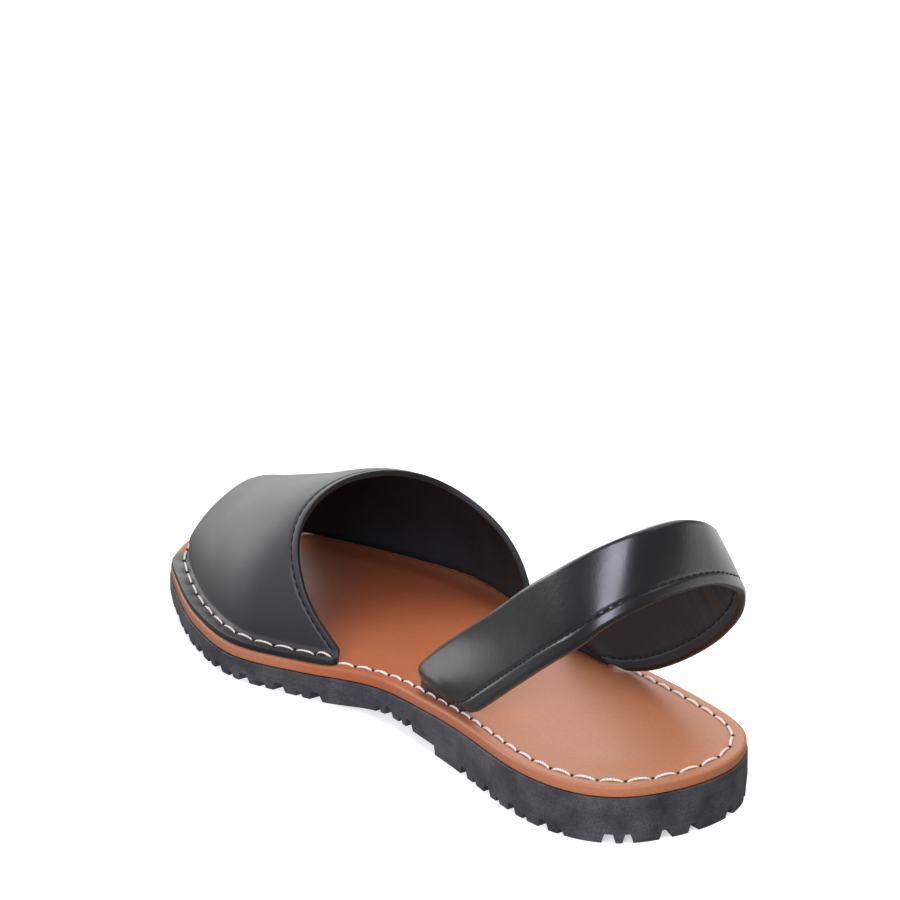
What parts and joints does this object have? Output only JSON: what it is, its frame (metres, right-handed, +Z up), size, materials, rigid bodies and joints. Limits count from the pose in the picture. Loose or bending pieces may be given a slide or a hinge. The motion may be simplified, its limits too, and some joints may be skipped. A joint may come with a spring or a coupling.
{
  "type": "avarca sandal",
  "caption": "Flat open-toe, open-back leather sandal with a broad arched front strap, a heel strap, a stitched leather insole and a lugged rubber sole.",
  "frame": {"origin": "on the floor, under the middle of the sandal's box", "axes": "+X towards the toe, +Y towards the inner side of a right foot, +Z up"},
  "size_m": [0.2554, 0.1002, 0.0996],
  "materials": {
    "black_rubber": "matt moulded rubber with fine streaks",
    "tan_leather": "smooth vegetable tanned leather with a soft sheen",
    "black_leather": "smooth satin leather",
    "black_strap_leather": "smooth polished leather"
  },
  "bodies": {
    "root": {"outsole": "black_rubber", "insole": "tan_leather", "vamp": "black_leather", "heel_strap": "black_strap_leather"}
  },
  "joints": []
}
